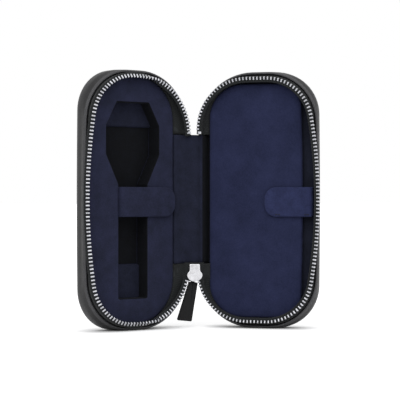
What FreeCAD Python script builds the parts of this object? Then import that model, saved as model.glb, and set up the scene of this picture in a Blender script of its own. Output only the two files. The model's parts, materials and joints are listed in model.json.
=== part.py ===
import FreeCAD, Part
import math
import os

# Zip-round watch case, standing open like a book. Millimetres.
# Each half is drawn flat in its own frame: X runs out from the spine hinge,
# Y runs from the closing plane to the back, Z runs up from the table.

# Clearances
seat_gap = 0.1
fit_gap = 0.3
swing_gap = 0.3
block_gap = 1.0

# Shell, at the rim and further back where the corners are squarer
case_height = 200.0
half_depth = 28.0
rim_side = 97.0
rim_bulge = 1.2
rim_corner = 0.454 * rim_side
rim_drop = 9.0
back_side = rim_side - 0.8
back_bulge = 0.4
back_corner = rim_corner - 4.0
flare_depth = rim_drop + 6.0
spine_offset = 0.4
spine_corner = 0.454 * rim_side
wall = 2.6
side_round = 11.0
spine_round = 10.0
end_round = 6.0
inner_turn = half_depth - 9.0
rest_opening = 126.0
middle = case_height / 2.0
lid_turn = 180.0 - rest_opening

# Zip teeth, leaning in over the opening
tooth_pitch = 2.9
tooth_width = 1.4
tooth_thickness = 2.3
tooth_length = 4.2
tooth_lean = 35.0
tooth_gap = 0.2
stop_width = 1.8

# Line of the zip round the opening
chain_inner = spine_offset + 2.4
chain_side = rim_side - 3.6
chain_bulge = 5.0
chain_corner = rim_corner - 1.0
chain_half = middle - 5.3
lean_in = math.sin(math.radians(tooth_lean))
lean_up = math.cos(math.radians(tooth_lean))
chain_depth = tooth_gap + tooth_length / 2.0 * lean_up + tooth_thickness / 2.0 * lean_in

# Zip tape, from inside the rim out to the teeth
tape_thickness = 0.8
tape_inset = wall + fit_gap + seat_gap
tape_root = rim_drop + 1.0
binding_height = 1.1
binding_inset = 0.3
tape_top = rim_drop - binding_height - fit_gap
tape_lip = tooth_length / 2.0 + tape_thickness / 2.0 * lean_in + 2.0 * fit_gap

# Slider and pull
slider_low = 36.0
slider_height = 13.8
slider_high = slider_low + slider_height
slider_neck = 8.4
slider_shoulder = 12.3
slider_plate = 0.9
slider_half = 2.4
slider_clear = 7.2
bail_width = 1.5
bail_wire = 1.0
bail_rise = 3.8
bail_low = slider_low + 4.5
bail_high = slider_high - fit_gap
link_wire = 0.8
link_width = 4.2
link_length = 10.3
pull_pivot_height = slider_high - 3.8
pull_pivot_side = 0.3
pull_lean = 6.0
pull_skew = 3.5
pull_length = 41.6
pull_thickness = 2.0
pull_top_width = link_width - 2.0 * link_wire - 2.0 * swing_gap
pull_shoulder = 5.6
pull_offset = 0.8
pull_end_width = 12.0
pull_top = 7.5
pull_depth = slider_half + 0.35 + pull_thickness / 2.0

# Spine
spine_low = slider_high + fit_gap + seat_gap
spine_high = case_height - spine_corner - 4.8
lining_thickness = 1.1
lining_crest = 2.7
leather_thickness = 1.15
leather_crest = rim_drop - 2.8
leather_reach = rim_drop + 10.0

# Insert in the base half
board_thickness = 1.1
floor_depth = half_depth - wall - 2.0 * seat_gap - board_thickness
insert_face = rim_drop
insert_step = tape_root + fit_gap
insert_edge = 13.6
insert_inset = tape_inset + tape_thickness + 0.4
well_centre = insert_edge + 0.49 * (rim_side - insert_inset - insert_edge)
well_slot_half = 13.2
well_wide_half = 24.5
well_top_half = 14.8
well_low = 24.4
well_waist = 0.56 * case_height
well_wide_low = 0.675 * case_height
well_wide_high = 0.785 * case_height
well_top = 0.875 * case_height
shelf_depth = floor_depth - 4.1
pocket_low = 50.0
pocket_high = well_wide_high
pocket_pad = 2.0
pad_gap = 0.4

# Panel in the lid half
panel_face = insert_face
panel_height = 4.4
panel_back = panel_face + panel_height
panel_board = 1.7
panel_inner = 9.5
panel_outer = rim_side - 13.6
panel_half_height = middle - 8.5
panel_corner = 0.35 * (panel_outer - panel_inner)
panel_edge = 3.0
cushion_top = panel_back + panel_board + 2.0 * seat_gap

# Straps
strap_width = 23.0
strap_middle = middle - 1.5
strap_thickness = 2.2
strap_tip_corner = 9.0
patch_thickness = 0.35
patch_height = 15.0
patch_length = 16.0
patch_setback = 5.0
strap_front = insert_face - 2.0 * patch_thickness - seat_gap - strap_thickness
root_thickness = 1.0
root_foot = 4.5
base_strap_root = well_centre + well_slot_half - seat_gap - root_thickness / 2.0
base_strap_tip = insert_edge + 0.5
lid_strap_root = rim_side - 5.0
lid_strap_tip = lid_strap_root - 37.0

# Middle of the flat that the base half stands on
foot_across = (spine_offset + spine_corner + back_side - back_corner) / 2.0
foot_along = (rim_drop + half_depth - end_round) / 2.0


def vec(x, y, z):
    return FreeCAD.Vector(x, y, z)


def box(x0, x1, y0, y1, z0, z1):
    return Part.makeBox(x1 - x0, y1 - y0, z1 - z0, vec(x0, y0, z0))


# Rounded outline of one half at one depth, as eight joined edges
def outline(inner, outer, bulge, half_height, r_inner, r_outer, depth):
    low = middle - half_height
    high = middle + half_height
    centre = outer - r_outer
    rise = half_height - r_outer
    reach = (bulge ** 2 + rise ** 2) / (2.0 * bulge)
    lean = math.asin(rise / reach)
    side = centre + r_outer * math.cos(lean)
    lift = rise + r_outer * math.sin(lean)
    mid_inner = r_inner * (1.0 - math.cos(math.pi / 4))
    turn = lean + (math.pi / 2 - lean) / 2.0
    mid_side = centre + r_outer * math.cos(turn)
    mid_lift = rise + r_outer * math.sin(turn)

    def at(x, z):
        return vec(x, depth, z)

    def bend(a, b, c):
        return Part.Arc(at(*a), at(*b), at(*c)).toShape()

    return [
        Part.makeLine(at(inner, low + r_inner), at(inner, high - r_inner)),
        bend((inner, high - r_inner), (inner + mid_inner, high - mid_inner), (inner + r_inner, high)),
        Part.makeLine(at(inner + r_inner, high), at(centre, high)),
        bend((centre, high), (mid_side, middle + mid_lift), (side, middle + lift)),
        bend((side, middle + lift), (outer + bulge, middle), (side, middle - lift)),
        bend((side, middle - lift), (mid_side, middle - mid_lift), (centre, low)),
        Part.makeLine(at(centre, low), at(inner + r_inner, low)),
        bend((inner + r_inner, low), (inner + mid_inner, low + mid_inner), (inner, low + r_inner)),
    ]


# Inset of a rounded back edge at one depth
def edge_drop(radius, depth, inset):
    over = max(0.0, depth - (half_depth - radius))
    left = radius - inset
    return left - math.sqrt(max(0.0, left ** 2 - over ** 2))


# Outline of the shell's rim, drawn in by an inset
def rim_edges(depth, inset):
    return outline(spine_offset + inset, rim_side - inset, rim_bulge, middle - inset,
                   spine_corner - inset, rim_corner - inset, depth)


# Outline of the shell at one depth: the corners get squarer behind the rim
def shell_edges(depth):
    share = min(1.0, max(0.0, (depth - rim_drop) / (flare_depth - rim_drop)))
    reach = rim_side + (back_side - rim_side) * share
    bulge = rim_bulge + (back_bulge - rim_bulge) * share
    corner = rim_corner + (back_corner - rim_corner) * share
    side = edge_drop(side_round, depth, 0.0)
    spine = edge_drop(spine_round, depth, 0.0)
    end = edge_drop(end_round, depth, 0.0)
    return outline(spine_offset + spine, reach - side, bulge, middle - end,
                   spine_corner - spine, corner - side, depth)


# Outline inside the shell: rounded for one depth, and drawn at another
def inner_edges(depth, inset, at_depth):
    side = edge_drop(side_round, depth, inset) + inset
    spine = edge_drop(spine_round, depth, inset) + inset
    end = edge_drop(end_round, depth, inset) + inset
    return outline(spine_offset + spine, rim_side - side, rim_bulge, middle - end,
                   spine_corner - spine, rim_corner - side, at_depth)


# Body that fills the inside of the shell from one depth to a floor
def inner_body(top, floor, inset):
    rows = [inner_edges(top, inset, top), inner_edges(inner_turn, inset, inner_turn),
            inner_edges(half_depth - wall, inset, floor)]
    return Part.makeLoft([Part.Wire(row) for row in rows], True, True)


# Space kept free where the spine takes over from the zip, and round the slider
def spine_clearance():
    gate = box(-5.0, insert_edge, -2.0, flare_depth, spine_low - 0.2, spine_high + 0.6)
    low = slider_low - 10.0
    turn = Part.makeCylinder(slider_clear, spine_low - low, vec(0, 0, low))
    return gate.fuse(turn)


def make_shell():
    depths = [rim_drop, flare_depth, half_depth - end_round, half_depth - 1.6, half_depth]
    outer = Part.makeLoft([Part.Wire(shell_edges(depth)) for depth in depths], True, True)
    inner = inner_body(rim_drop, half_depth - wall, wall)
    return outer.cut(inner).removeSplitter()


def make_back_board():
    top = half_depth - wall - seat_gap - board_thickness
    face = Part.Face(Part.Wire(inner_edges(half_depth - wall, wall + block_gap, top)))
    return face.extrude(vec(0, board_thickness, 0))


def make_rim_binding():
    rings = []
    for inset in (binding_inset, wall - binding_inset):
        face = Part.Face(Part.Wire(rim_edges(rim_drop, inset)))
        rings.append(face.extrude(vec(0, -binding_height, 0)))
    return rings[0].cut(rings[1]).cut(spine_clearance())


# Line of the zip, moved along the teeth from their middle and out to one side
def chain_edges(along, shift):
    out = along * lean_in + shift
    return outline(chain_inner - out, chain_side + out, chain_bulge, chain_half + out,
                   spine_corner + out, chain_corner + out, chain_depth + along * lean_up)


# Space inside one face of the tape: up from the rim, then over towards the teeth
def tape_body(inset, shift):
    rows = [rim_edges(tape_root, inset), rim_edges(tape_top, inset), chain_edges(tape_lip, shift)]
    return Part.makeLoft([Part.Wire(row) for row in rows], True, True)


def make_zip_tape():
    half = tape_thickness / 2.0
    outer = tape_body(tape_inset, half)
    inner = tape_body(tape_inset + tape_thickness, -half)
    return outer.cut(inner).cut(spine_clearance())


# One tooth of the zip, a bar that closes on the tape's edge
def make_clip(width):
    half = tooth_thickness / 2.0
    reach = tooth_length / 2.0
    return box(-half, half, -reach, reach, -width / 2.0, width / 2.0)


# Clip leaned over and set on the line of the zip
def set_clip(clip, points, index):
    along = (points[index + 1] - points[index - 1]).normalize()
    out = along.cross(vec(0, 1, 0))
    heel = out * lean_in + vec(0, lean_up, 0)
    turn = FreeCAD.Rotation(heel.cross(along), heel, along, "ZYX")
    placed = clip.copy()
    placed.Placement = FreeCAD.Placement(points[index], turn)
    return placed


# Points along the zip, four to each tooth's pitch
def chain_points():
    chain = Part.Wire(chain_edges(0.0, 0.0)[1:])
    steps = int(chain.Length / tooth_pitch) * 4
    return chain.discretize(Number=steps + 1)


def make_zip_teeth(start):
    points = chain_points()
    clip = make_clip(tooth_width)
    teeth = []
    for index in range(8 + start, len(points) - 1, 4):
        point = points[index]
        if point.x < insert_edge and slider_low - 2.6 < point.z < middle:
            continue
        teeth.append(set_clip(clip, points, index))
    return Part.makeCompound(teeth)


def make_zip_stop():
    return set_clip(make_clip(stop_width), chain_points(), 3)


# Outline of the keyhole well between two heights
def well_prism(low, high, top, bottom):
    right = [(well_slot_half, well_low), (well_slot_half, well_waist), (well_wide_half, well_wide_low),
             (well_wide_half, well_wide_high), (well_top_half, well_top)]
    left = [(-half, height) for half, height in reversed(right)]
    corners = [vec(well_centre + half, top, height) for half, height in right + left]
    face = Part.Face(Part.makePolygon(corners + corners[:1]))
    prism = face.extrude(vec(0, bottom - top, 0))
    return prism.common(box(0, back_side, top, bottom, low, high))


def make_insert():
    block = inner_body(insert_step, floor_depth, wall + block_gap)
    edges = outline(insert_edge, rim_side - insert_inset, rim_bulge, middle - insert_inset,
                    spine_corner - insert_edge + insert_inset, rim_corner - insert_inset, insert_face)
    slab = Part.Face(Part.Wire(edges)).extrude(vec(0, insert_step - insert_face, 0))
    body = block.fuse(slab)
    body = body.cut(well_prism(well_low, well_top, insert_face - 1.0, shelf_depth))
    body = body.cut(well_prism(pocket_low, pocket_high, insert_face - 1.0, floor_depth + 1.0))
    return body.removeSplitter()


def make_well_pad():
    prism = well_prism(pocket_low, pocket_high, floor_depth - pocket_pad, floor_depth)
    wire = max(prism.Faces, key=lambda face: face.CenterOfMass.y).OuterWire
    small = wire.makeOffset2D(-pad_gap)
    return Part.Face(small).extrude(vec(0, -pocket_pad, 0))


def make_cushion():
    return inner_body(cushion_top, floor_depth, wall + block_gap)


# Outline of the lid's panel, drawn in by an inset
def panel_wire(depth, inset):
    edges = outline(panel_inner + inset, panel_outer - inset, 1.0, panel_half_height - inset,
                    panel_corner - inset, panel_corner - inset, depth)
    return Part.Wire(edges)


def make_panel():
    rows = [(panel_back, 0.6), (panel_back - 1.2, 0.0), (panel_face + 1.1, 0.4), (panel_face, panel_edge)]
    return Part.makeLoft([panel_wire(depth, inset) for depth, inset in rows], True, True)


def make_panel_board():
    face = Part.Face(panel_wire(panel_back + seat_gap, 1.2))
    return face.extrude(vec(0, panel_board, 0))


# Flat strap with a rounded tip and a round root on its hinge line
def make_strap(root, tip):
    low = strap_middle - strap_width / 2.0
    high = strap_middle + strap_width / 2.0
    r = strap_tip_corner
    k = r * (1.0 - math.cos(math.pi / 4))

    def at(x, z):
        return vec(x, strap_front, z)

    edges = [
        Part.makeLine(at(root, low), at(root, high)),
        Part.makeLine(at(root, high), at(tip + r, high)),
        Part.Arc(at(tip + r, high), at(tip + k, high - k), at(tip, high - r)).toShape(),
        Part.makeLine(at(tip, high - r), at(tip, low + r)),
        Part.Arc(at(tip, low + r), at(tip + k, low + k), at(tip + r, low)).toShape(),
        Part.makeLine(at(tip + r, low), at(root, low)),
    ]
    plate = Part.Face(Part.Wire(edges)).extrude(vec(0, strap_thickness, 0))
    half = strap_thickness / 2.0
    roll = Part.makeCylinder(half, strap_width, vec(root, strap_front + half, low))
    return plate.fuse(roll).removeSplitter()


# Fastening patch below a strap's tip, on the strap or on the face below
def make_patch(tip, top):
    start = tip + patch_setback
    half = patch_height / 2.0
    return box(start, start + patch_length, top, top + patch_thickness,
               strap_middle - half, strap_middle + half)


def make_base_root():
    top = strap_front + strap_thickness + swing_gap
    inner = base_strap_root - root_thickness / 2.0
    half = strap_width / 2.0
    return box(inner, inner + root_thickness, top, shelf_depth - seat_gap,
               strap_middle - half, strap_middle + half)


def make_lid_root():
    top = strap_front + strap_thickness + swing_gap
    seat = panel_back + panel_board + seat_gap
    half = root_thickness / 2.0
    outer = lid_strap_root + half
    inner = outer - root_thickness
    foot = outer - root_foot
    points = [(outer, top), (outer, seat), (foot, seat), (foot, seat - root_thickness),
              (inner, seat - root_thickness), (inner, top)]
    corners = [vec(x, y, strap_middle - strap_width / 2.0) for x, y in points]
    face = Part.Face(Part.makePolygon(corners + corners[:1]))
    return face.extrude(vec(0, 0, strap_width))


# Point of a half in the frame that halves the opening: side is -1 base, +1 lid
def spine_point(side, out, depth):
    half = math.radians(lid_turn / 2.0)
    across = out * math.cos(half) + depth * math.sin(half)
    behind = depth * math.cos(half) - out * math.sin(half)
    return side * across, behind


# Strip across the spine between a front and a back run of points
def spine_strip(front, back, low, high):
    def at(point):
        return vec(point[0], point[1], low)

    edges = []
    for run in (front, back):
        first, second, crest, third, last = [at(point) for point in run]
        edges.append([Part.makeLine(first, second), Part.Arc(second, crest, third).toShape(),
                      Part.makeLine(third, last)])
    ends = [Part.makeLine(at(front[0]), at(back[0])), Part.makeLine(at(front[-1]), at(back[-1]))]
    wire = Part.Wire(Part.__sortEdges__(edges[0] + edges[1] + ends))
    return Part.Face(wire).extrude(vec(0, 0, high - low))


def make_spine_lining():
    t = lining_thickness
    edge = insert_edge - fit_gap
    foot = insert_step - fit_gap
    bend = insert_face - 0.4
    lid_edge = panel_inner - 0.6
    lid_foot = cushion_top - fit_gap
    lid_bend = panel_face - 0.8
    front = [spine_point(-1, edge, foot), spine_point(-1, edge - 0.6, bend), (0.0, lining_crest),
             spine_point(1, lid_edge - 1.0, lid_bend), spine_point(1, lid_edge, lid_foot)]
    back = [spine_point(-1, edge - t, foot), spine_point(-1, edge - 1.4 - t / 2.0, bend + t),
            (0.0, lining_crest + t), spine_point(1, lid_edge - 1.6, lid_bend + t),
            spine_point(1, lid_edge - t, lid_foot)]
    return spine_strip(front, back, spine_low, spine_high)


def make_spine_leather():
    face = spine_offset - seat_gap
    skin = face - leather_thickness
    turn = rim_drop + fit_gap
    front = [spine_point(-1, face, leather_reach), spine_point(-1, face, turn), (0.0, leather_crest),
             spine_point(1, face, turn), spine_point(1, face, leather_reach)]
    back = [spine_point(-1, skin, leather_reach), spine_point(-1, skin, turn + 0.4),
            (0.0, leather_crest + leather_thickness),
            spine_point(1, skin, turn + 0.4), spine_point(1, skin, leather_reach)]
    return spine_strip(front, back, spine_low + 1.0, spine_high)


# Slider outline: narrow neck, wide shoulders, round foot
def slider_face(depth):
    neck = slider_neck / 2.0
    wide = slider_shoulder / 2.0
    neck_low = slider_low + 8.4
    wide_high = slider_low + 6.2
    wide_low = slider_low + 4.6
    turn = wide * 0.74

    def at(x, z):
        return vec(x, depth, z)

    edges = [
        Part.makeLine(at(-neck, slider_high), at(neck, slider_high)),
        Part.makeLine(at(neck, slider_high), at(neck, neck_low)),
        Part.makeLine(at(neck, neck_low), at(wide, wide_high)),
        Part.makeLine(at(wide, wide_high), at(wide, wide_low)),
        Part.Arc(at(wide, wide_low), at(turn, slider_low + 1.5), at(0, slider_low)).toShape(),
        Part.Arc(at(0, slider_low), at(-turn, slider_low + 1.5), at(-wide, wide_low)).toShape(),
        Part.makeLine(at(-wide, wide_low), at(-wide, wide_high)),
        Part.makeLine(at(-wide, wide_high), at(-neck, neck_low)),
        Part.makeLine(at(-neck, neck_low), at(-neck, slider_high)),
    ]
    return Part.Face(Part.Wire(edges))


def make_slider_body():
    gap = slider_half - slider_plate
    body = slider_face(-slider_half).extrude(vec(0, slider_plate, 0))
    body = body.fuse(slider_face(gap).extrude(vec(0, slider_plate, 0)))
    post = [vec(0, -gap, slider_low + 1.4), vec(1.5, -gap, slider_low + 3.6),
            vec(0, -gap, slider_low + 6.4), vec(-1.5, -gap, slider_low + 3.6)]
    body = body.fuse(Part.Face(Part.makePolygon(post + post[:1])).extrude(vec(0, 2.0 * gap, 0)))
    neck = slider_neck / 2.0
    for x0, x1 in ((-neck, -neck + slider_plate), (neck - slider_plate, neck)):
        for y0, y1 in ((-gap, -0.55), (0.55, gap)):
            body = body.fuse(box(x0, x1, y0, y1, slider_low + 8.4, slider_high))
    return body.removeSplitter()


def make_slider_bail():
    half = bail_width / 2.0
    top = slider_half + bail_rise
    arch = box(-half, half, slider_half, top, bail_low, bail_high)
    space = box(-half, half, slider_half, top - bail_wire, bail_low + 1.2, bail_high - 1.2)
    return arch.cut(space)


# Pull pieces are drawn hanging from their pivot, then leaned and set in place
def hang(shape):
    placed = shape.copy()
    turn = FreeCAD.Rotation(vec(0, 1, 0), pull_lean)
    placed.Placement = FreeCAD.Placement(vec(pull_pivot_side, pull_depth, pull_pivot_height), turn)
    return placed


def make_pull_link():
    half = link_width / 2.0
    r = link_wire / 2.0
    low = r - link_length
    loop = box(-half, half, -r, r, low, 0.0)
    space = box(-half + link_wire, half - link_wire, -r, r, low + link_wire, 0.0)
    bar = Part.makeCylinder(r, link_width, vec(-half, 0, 0), vec(1, 0, 0))
    return hang(loop.cut(space).fuse(bar))


def make_pull_tab():
    half = pull_thickness / 2.0
    top = pull_top_width / 2.0
    end = pull_end_width / 2.0
    neck = link_length + swing_gap
    shoulder = neck + 1.0
    wide = pull_shoulder / 2.0
    left = -end - pull_skew
    right = end - pull_skew
    points = [(-top, -pull_top), (top, -pull_top), (top, -neck), (pull_offset + wide, -shoulder),
              (right, -pull_length + 1.5), (right - 1.5, -pull_length),
              (left + 1.5, -pull_length), (left, -pull_length + 1.5),
              (pull_offset - wide, -shoulder), (-top, -neck)]
    corners = [vec(x, -half, z) for x, z in points]
    tab = Part.Face(Part.makePolygon(corners + corners[:1])).extrude(vec(0, pull_thickness, 0))
    bar = link_wire / 2.0 + swing_gap
    centre = link_wire - link_length
    hole = box(-link_width, link_width, -bar, bar, centre - bar, centre + bar)
    return hang(tab.cut(hole))


def to_base(shape):
    return shape.mirror(vec(0, 0, 0), vec(1, 0, 0))


def to_lid(shape):
    turned = shape.copy()
    turned.rotate(vec(0, 0, 0), vec(0, 0, 1), -lid_turn)
    return turned


def to_spine(shape):
    turned = shape.copy()
    turned.rotate(vec(0, 0, 0), vec(0, 0, 1), -lid_turn / 2.0)
    return turned


def build():
    strap_back = strap_front + strap_thickness
    face_patch = insert_face - patch_thickness
    halves = {
        "shell": make_shell(),
        "back_board": make_back_board(),
        "rim_binding": make_rim_binding(),
        "zip_tape": make_zip_tape(),
        "zip_stop": make_zip_stop(),
    }
    nodes = {}
    for name, shape in halves.items():
        nodes["base_" + name] = to_base(shape)
        nodes["lid_" + name] = to_lid(shape)
    nodes["base_zip_teeth"] = to_base(make_zip_teeth(0))
    nodes["lid_zip_teeth"] = to_lid(make_zip_teeth(2))
    nodes["base_insert"] = to_base(make_insert())
    nodes["base_well_pad"] = to_base(make_well_pad())
    nodes["base_strap_root"] = to_base(make_base_root())
    nodes["base_strap"] = to_base(make_strap(base_strap_root, base_strap_tip))
    nodes["base_hook_patch"] = to_base(make_patch(base_strap_tip, strap_back))
    nodes["base_loop_patch"] = to_base(make_patch(base_strap_tip, face_patch))
    nodes["lid_cushion"] = to_lid(make_cushion())
    nodes["lid_panel_board"] = to_lid(make_panel_board())
    nodes["lid_panel"] = to_lid(make_panel())
    nodes["lid_strap_root"] = to_lid(make_lid_root())
    nodes["lid_strap"] = to_lid(make_strap(lid_strap_root, lid_strap_tip))
    nodes["lid_hook_patch"] = to_lid(make_patch(lid_strap_tip, strap_back))
    nodes["lid_loop_patch"] = to_lid(make_patch(lid_strap_tip, face_patch))
    nodes["spine_lining"] = to_spine(make_spine_lining())
    nodes["spine_leather"] = to_spine(make_spine_leather())
    nodes["slider_body"] = to_spine(make_slider_body())
    nodes["slider_bail"] = to_spine(make_slider_bail())
    nodes["pull_link"] = to_spine(make_pull_link())
    nodes["pull_tab"] = to_spine(make_pull_tab())
    return nodes


os.makedirs("parts", exist_ok=True)
for name, shape in build().items():
    shape.translate(vec(foot_across, -foot_along, 0))
    shape.exportStep("parts/" + name + ".step")
    kind = "ok" if shape.isValid() else "NOT VALID"
    print(name, kind, len(shape.Solids), round(shape.Volume / 1000.0, 2))
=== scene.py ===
import json
from math import acos, asin, copysign, cos, pi, radians, sin, sqrt, tan
import bmesh
import bpy
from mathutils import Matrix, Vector


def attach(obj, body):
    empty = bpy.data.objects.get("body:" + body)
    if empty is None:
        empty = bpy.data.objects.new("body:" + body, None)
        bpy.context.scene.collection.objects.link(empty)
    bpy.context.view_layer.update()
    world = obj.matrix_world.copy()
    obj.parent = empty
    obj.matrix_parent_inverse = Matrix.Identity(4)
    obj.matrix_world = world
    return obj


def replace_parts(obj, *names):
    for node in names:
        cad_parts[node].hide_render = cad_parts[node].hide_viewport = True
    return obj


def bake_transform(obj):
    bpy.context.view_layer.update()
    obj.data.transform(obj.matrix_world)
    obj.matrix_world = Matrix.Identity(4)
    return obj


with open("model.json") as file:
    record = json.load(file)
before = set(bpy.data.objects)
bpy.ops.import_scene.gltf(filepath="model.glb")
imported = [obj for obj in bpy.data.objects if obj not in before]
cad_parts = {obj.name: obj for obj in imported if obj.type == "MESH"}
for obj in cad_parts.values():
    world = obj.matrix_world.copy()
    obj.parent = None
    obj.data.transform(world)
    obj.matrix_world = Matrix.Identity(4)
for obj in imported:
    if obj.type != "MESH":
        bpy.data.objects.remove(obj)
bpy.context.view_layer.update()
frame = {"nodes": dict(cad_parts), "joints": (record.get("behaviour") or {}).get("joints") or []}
nodes = frame["nodes"]
scene = bpy.context.scene
scene.view_settings.view_transform = "Standard"
mm = 0.001
middle = 100.0  # half the case's height, in mm

# places in mm: u runs out from the spine's hinge, d from the closing plane to the back, z up
lidHinge = next(joint for joint in frame["joints"] if joint["name"] == "lid_hinge")
hinge = Vector(lidHinge["pos_m"])
lidTurn = radians(180.0 + lidHinge["range_deg"][0])


def turnedAt(x, y, z, angle):
    c, s = cos(angle), sin(angle)
    return Vector((hinge.x + (x * c + y * s) * mm, hinge.y + (y * c - x * s) * mm, z * mm))


def baseAt(u, d, z):
    return Vector((hinge.x - u * mm, hinge.y + d * mm, z * mm))


def lidAt(u, d, z):
    return turnedAt(u, d, z, lidTurn)


# x towards the lid and y to the back, from the plane that halves the opening
def spineAt(x, y, z):
    return turnedAt(x, y, z, lidTurn / 2.0)


halfAt = {"base": baseAt, "lid": lidAt}


def fromHex(code):
    parts = [int(code[i:i + 2], 16) / 255.0 for i in (1, 3, 5)]
    return tuple(c / 12.92 if c <= 0.04045 else ((c + 0.055) / 1.055) ** 2.4 for c in parts) + (1.0,)


black, white = fromHex("#000000"), fromHex("#ffffff")


# inputs of a node, as values or as (node, output) links
def setInputs(tree, node, inputs):
    for key, value in inputs.items():
        if isinstance(value, tuple) and isinstance(value[0], bpy.types.Node):
            tree.links.new(value[0].outputs[value[1]], node.inputs[key])
        else:
            node.inputs[key].default_value = value


# one node of the tree's own family with its settings, its inputs and the stops of its colour ramp
def addNode(tree, kind, inputs=None, stops=(), **settings):
    family = "" if "Node" in kind else tree.bl_idname.removesuffix("Tree")
    node = tree.nodes.new(family + kind)
    for key, value in settings.items():
        setattr(node, key, value)
    for i, (position, colour) in enumerate(stops):
        node.color_ramp.elements[i].position = position
        node.color_ramp.elements[i].color = colour
    setInputs(tree, node, inputs or {})
    return node


def newMaterial(name):
    material = bpy.data.materials.new(name)
    material.use_nodes = True
    tree = material.node_tree
    return material, tree, tree.nodes["Principled BSDF"]


# texture scale for patches of this many millimetres
def patchScale(size):
    return 1.0 / (size * mm)


def twoTones(look, low, high):
    return [(low, fromHex(look["dark"])), (high, fromHex(look["light"]))]


# brushed polyester microsuede: matt, deep navy, cloudy where the nap lies different ways
def makeSuede(name, **look):
    material, tree, shader = newMaterial(name)
    place = (addNode(tree, "TexCoord"), "Object")
    nap = addNode(tree, "TexNoise", {"Vector": place, "Scale": patchScale(look["napPatch"]),
        "Detail": 4.0, "Roughness": 0.6})
    fibre = addNode(tree, "TexNoise", {"Vector": place, "Scale": patchScale(look["fibre"]),
        "Detail": 3.0, "Roughness": 0.7})
    both = addNode(tree, "Mix", {0: 0.45, 2: (nap, "Fac"), 3: (fibre, "Fac")}, data_type="FLOAT")
    colour = addNode(tree, "ValToRGB", {"Fac": (both, "Result")}, twoTones(look, 0.34, 0.66))
    bump = addNode(tree, "Bump", {"Height": (fibre, "Fac"), "Strength": 0.35, "Distance": 0.15 * mm})
    setInputs(tree, shader, {"Base Color": (colour, "Color"), "Normal": (bump, "Normal"), "Roughness": 0.95,
        "Specular IOR Level": 0.2, "Sheen Weight": look["sheen"], "Sheen Roughness": 0.45,
        "Sheen Tint": fromHex("#8f97c8")})
    return material


# drum-dyed calf leather with a fine pebble grain: near black, satin, paler on its high spots;
# the paler copy on turned edges is a painted highlight
def makeLeather(name, **look):
    material, tree, shader = newMaterial(name)
    place = (addNode(tree, "TexCoord"), "Object")
    wobble = addNode(tree, "TexNoise", {"Vector": place, "Scale": patchScale(4.0), "Detail": 2.0})
    stray = 0.9 * mm  # how far a grain strays from its place
    bent = addNode(tree, "VectorMath", {0: (wobble, "Color"), 1: (stray, stray, stray), 2: place},
        operation="MULTIPLY_ADD")
    pebble = addNode(tree, "TexVoronoi", {"Vector": (bent, "Vector"), "Scale": patchScale(look["grain"])},
        feature="DISTANCE_TO_EDGE")
    valley = addNode(tree, "ValToRGB", {"Fac": (pebble, "Distance")}, [(0.02, black), (0.30, white)])
    cloud = addNode(tree, "TexNoise", {"Vector": place, "Scale": patchScale(18.0), "Detail": 4.0})
    tone = addNode(tree, "Mix", {0: 0.4, 2: (cloud, "Fac"), 3: (valley, "Color")}, data_type="FLOAT")
    colour = addNode(tree, "ValToRGB", {"Fac": (tone, "Result")}, twoTones(look, 0.2, 0.8))
    gloss = addNode(tree, "MapRange", {"Value": (tone, "Result"), "From Min": 0.2, "From Max": 0.8,
        "To Min": look["rough"] + 0.1, "To Max": look["rough"]})
    bump = addNode(tree, "Bump", {"Height": (valley, "Color"), "Strength": look["bump"], "Distance": 0.12 * mm})
    setInputs(tree, shader, {"Base Color": (colour, "Color"), "Roughness": (gloss, "Result"),
        "Normal": (bump, "Normal"), "IOR": 1.5, "Specular IOR Level": look["shine"]})
    return material


# woven polyester tape: matt black with a fine herringbone, its threads drawn twice as coarse so that they show
def makeTape(name, **look):
    material, tree, shader = newMaterial(name)
    along = addNode(tree, "UVMap")
    bandSpan = 0.314  # width of a band of the wave texture at scale 1
    bands = {"Vector": (along, "UV"), "Scale": bandSpan / (look["thread"] * mm), "Distortion": 0.4}
    warp = addNode(tree, "TexWave", bands, wave_type="BANDS", bands_direction="X")
    weft = addNode(tree, "TexWave", bands, wave_type="BANDS", bands_direction="DIAGONAL")
    cross = addNode(tree, "Math", {0: (warp, "Fac"), 1: (weft, "Fac")}, operation="MULTIPLY")
    colour = addNode(tree, "ValToRGB", {"Fac": (cross, "Value")}, twoTones(look, 0.1, 0.8))
    bump = addNode(tree, "Bump", {"Height": (cross, "Value"), "Strength": 0.5, "Distance": 0.2 * mm})
    setInputs(tree, shader, {"Base Color": (colour, "Color"), "Normal": (bump, "Normal"), "Roughness": 0.85,
        "Specular IOR Level": 0.3, "Sheen Weight": 0.08})
    return material


# nickel plate over die-cast zinc: bright and slightly warm, with soft rub marks
def makeNickel(name, **look):
    material, tree, shader = newMaterial(name)
    place = (addNode(tree, "TexCoord"), "Object")
    rub = addNode(tree, "TexNoise", {"Vector": place, "Scale": patchScale(2.5), "Detail": 5.0})
    colour = addNode(tree, "ValToRGB", {"Fac": (rub, "Fac")}, twoTones(look, 0.3, 0.7))
    gloss = addNode(tree, "MapRange", {"Value": (rub, "Fac"), "From Min": 0.3, "From Max": 0.7,
        "To Min": look["rough"] - 0.06, "To Max": look["rough"] + 0.08})
    setInputs(tree, shader, {"Base Color": (colour, "Color"), "Roughness": (gloss, "Result"), "Metallic": 1.0})
    return material


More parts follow.
